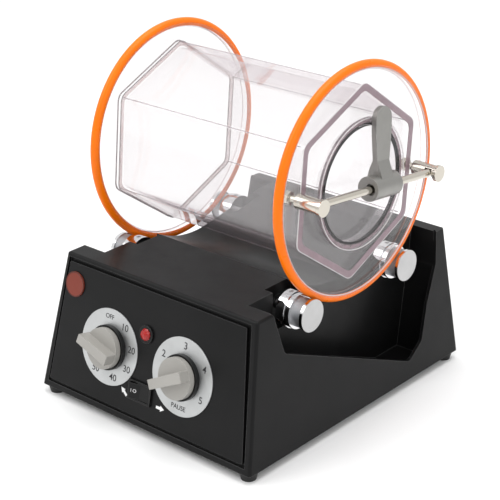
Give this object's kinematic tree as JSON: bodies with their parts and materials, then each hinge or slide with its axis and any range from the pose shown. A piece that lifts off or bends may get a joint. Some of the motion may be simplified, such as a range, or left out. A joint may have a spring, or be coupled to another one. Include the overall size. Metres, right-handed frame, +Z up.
{
  "type": "rotary rock tumbler",
  "caption": "Bench-top rock tumbler: clear hexagonal drum with a clamped round door, turned by chrome rollers on a black base with timer and speed knobs.",
  "frame": {"origin": "on the surface the feet stand on, under the middle of the machine's overall box", "axes": "+Z up, +X towards the drum's door end, -Y towards the control panel"},
  "size_m": [0.2504, 0.2933, 0.3029],
  "materials": {
    "black_plastic": "satin black moulding",
    "panel_black": "satin black panel",
    "dark_steel": "black painted sheet",
    "foot_rubber": "matt black rubber",
    "screw_steel": "zinc plated",
    "motor_steel": "grey motor can",
    "zinc_steel": "zinc plated sheet",
    "belt_rubber": "black drive belt",
    "board_green": "circuit board",
    "component_black": "black moulded parts",
    "dial_silver": "silver dial plate",
    "lens_red": "red lamp lens",
    "badge_red": "plain red disc",
    "bearing_bronze": "sintered bronze",
    "clear_plastic": "clear acrylic",
    "orange_rubber": "orange cord ring",
    "nickel": "nickel plated",
    "seal_rubber": "black seal",
    "lever_metal": "cast lever",
    "shaft_steel": "ground steel",
    "roller_chrome": "chrome roller with a knurled groove",
    "pulley_aluminium": "turned aluminium",
    "knob_grey": "light grey knob"
  },
  "bodies": {
    "base": {"base_shell": "black_plastic", "front_panel": "panel_black", "bottom_plate": "dark_steel", "feet": "foot_rubber", "bottom_screws": "screw_steel", "motor": "motor_steel", "motor_bracket": "zinc_steel", "drive_belt": "belt_rubber", "circuit_board": "board_green", "board_components": "component_black", "timer_unit": "component_black", "timer_dial_plate": "dial_silver", "timer_dial_ring": "component_black", "speed_control_unit": "component_black", "speed_dial_plate": "dial_silver", "speed_dial_ring": "component_black", "lamp_body": "component_black", "lamp_lens": "lens_red", "rocker_frame": "component_black", "power_inlet": "component_black", "fuse_holder": "component_black", "badge_disc": "badge_red", "front_left_bearing": "bearing_bronze", "front_right_bearing": "bearing_bronze", "rear_left_bearing": "bearing_bronze", "rear_right_bearing": "bearing_bronze"},
    "drum": {"drum_body": "clear_plastic", "left_disc": "clear_plastic", "right_disc": "clear_plastic", "left_tyre": "orange_rubber", "right_tyre": "orange_rubber", "left_clamp_post": "nickel", "right_clamp_post": "nickel", "post_nuts": "nickel"},
    "door": {"lid": "clear_plastic", "lid_seal": "seal_rubber"},
    "clamp": {"clamp_bar": "nickel"},
    "lever": {"cam_lever": "lever_metal"},
    "front_roller_set": {"front_shaft": "shaft_steel", "front_left_roller": "roller_chrome", "front_right_roller": "roller_chrome", "front_set_screws": "screw_steel", "shaft_pulley": "pulley_aluminium"},
    "rear_roller_set": {"rear_shaft": "shaft_steel", "rear_left_roller": "roller_chrome", "rear_right_roller": "roller_chrome", "rear_set_screws": "screw_steel"},
    "motor_rotor": {"motor_shaft": "shaft_steel", "motor_pulley": "pulley_aluminium"},
    "timer_dial": {"timer_knob": "knob_grey"},
    "speed_dial": {"speed_knob": "knob_grey"},
    "power_rocker": {"rocker": "component_black"}
  },
  "joints": [
    {"name": "drum_spin", "type": "hinge", "parent": "base", "child": "drum", "pos_m": [-0.00475, 0.01827, 0.2029], "axis": [1, 0, 0], "continuous": true},
    {"name": "front_roller_spin", "type": "hinge", "parent": "base", "child": "front_roller_set", "pos_m": [-0.00475, -0.04513, 0.1096], "axis": [1, 0, 0], "continuous": true},
    {"name": "rear_roller_spin", "type": "hinge", "parent": "base", "child": "rear_roller_set", "pos_m": [-0.00475, 0.08167, 0.1096], "axis": [1, 0, 0], "continuous": true},
    {"name": "motor_spin", "type": "hinge", "parent": "base", "child": "motor_rotor", "pos_m": [-0.00475, 0.01027, 0.0529], "axis": [1, 0, 0], "continuous": true},
    {"name": "lid_slide", "type": "slide", "parent": "drum", "child": "door", "axis": [1, 0, 0], "range_m": [0, 0.014]},
    {"name": "clamp_bar_slide", "type": "slide", "parent": "door", "child": "clamp", "axis": [0, -0.108, -0.9942], "range_m": [0, 0.07]},
    {"name": "lever_hinge", "type": "hinge", "parent": "clamp", "child": "lever", "pos_m": [0.11705, 0.01827, 0.2029], "axis": [0, 0.9942, -0.108], "range_deg": [0, 100]},
    {"name": "timer_turn", "type": "hinge", "parent": "base", "child": "timer_dial", "pos_m": [-0.04965, -0.12427, 0.06281], "axis": [0, -0.9755, 0.2198], "range_deg": [-4, 286]},
    {"name": "speed_turn", "type": "hinge", "parent": "base", "child": "speed_dial", "pos_m": [0.03415, -0.12416, 0.0633], "axis": [0, -0.9755, 0.2198], "range_deg": [-237, 63]},
    {"name": "power_switch", "type": "hinge", "parent": "base", "child": "power_rocker", "pos_m": [-0.00925, -0.12825, 0.03603], "axis": [0, 0.2198, 0.9755], "range_deg": [-20, 0]}
  ],
  "couplings": [
    {"joint": "front_roller_spin", "follows": "drum_spin", "ratio": -8},
    {"joint": "rear_roller_spin", "follows": "drum_spin", "ratio": -8},
    {"joint": "motor_spin", "follows": "drum_spin", "ratio": -16},
    {"joint": "lid_slide", "follows": "clamp_bar_slide", "ratio": 0.2}
  ]
}
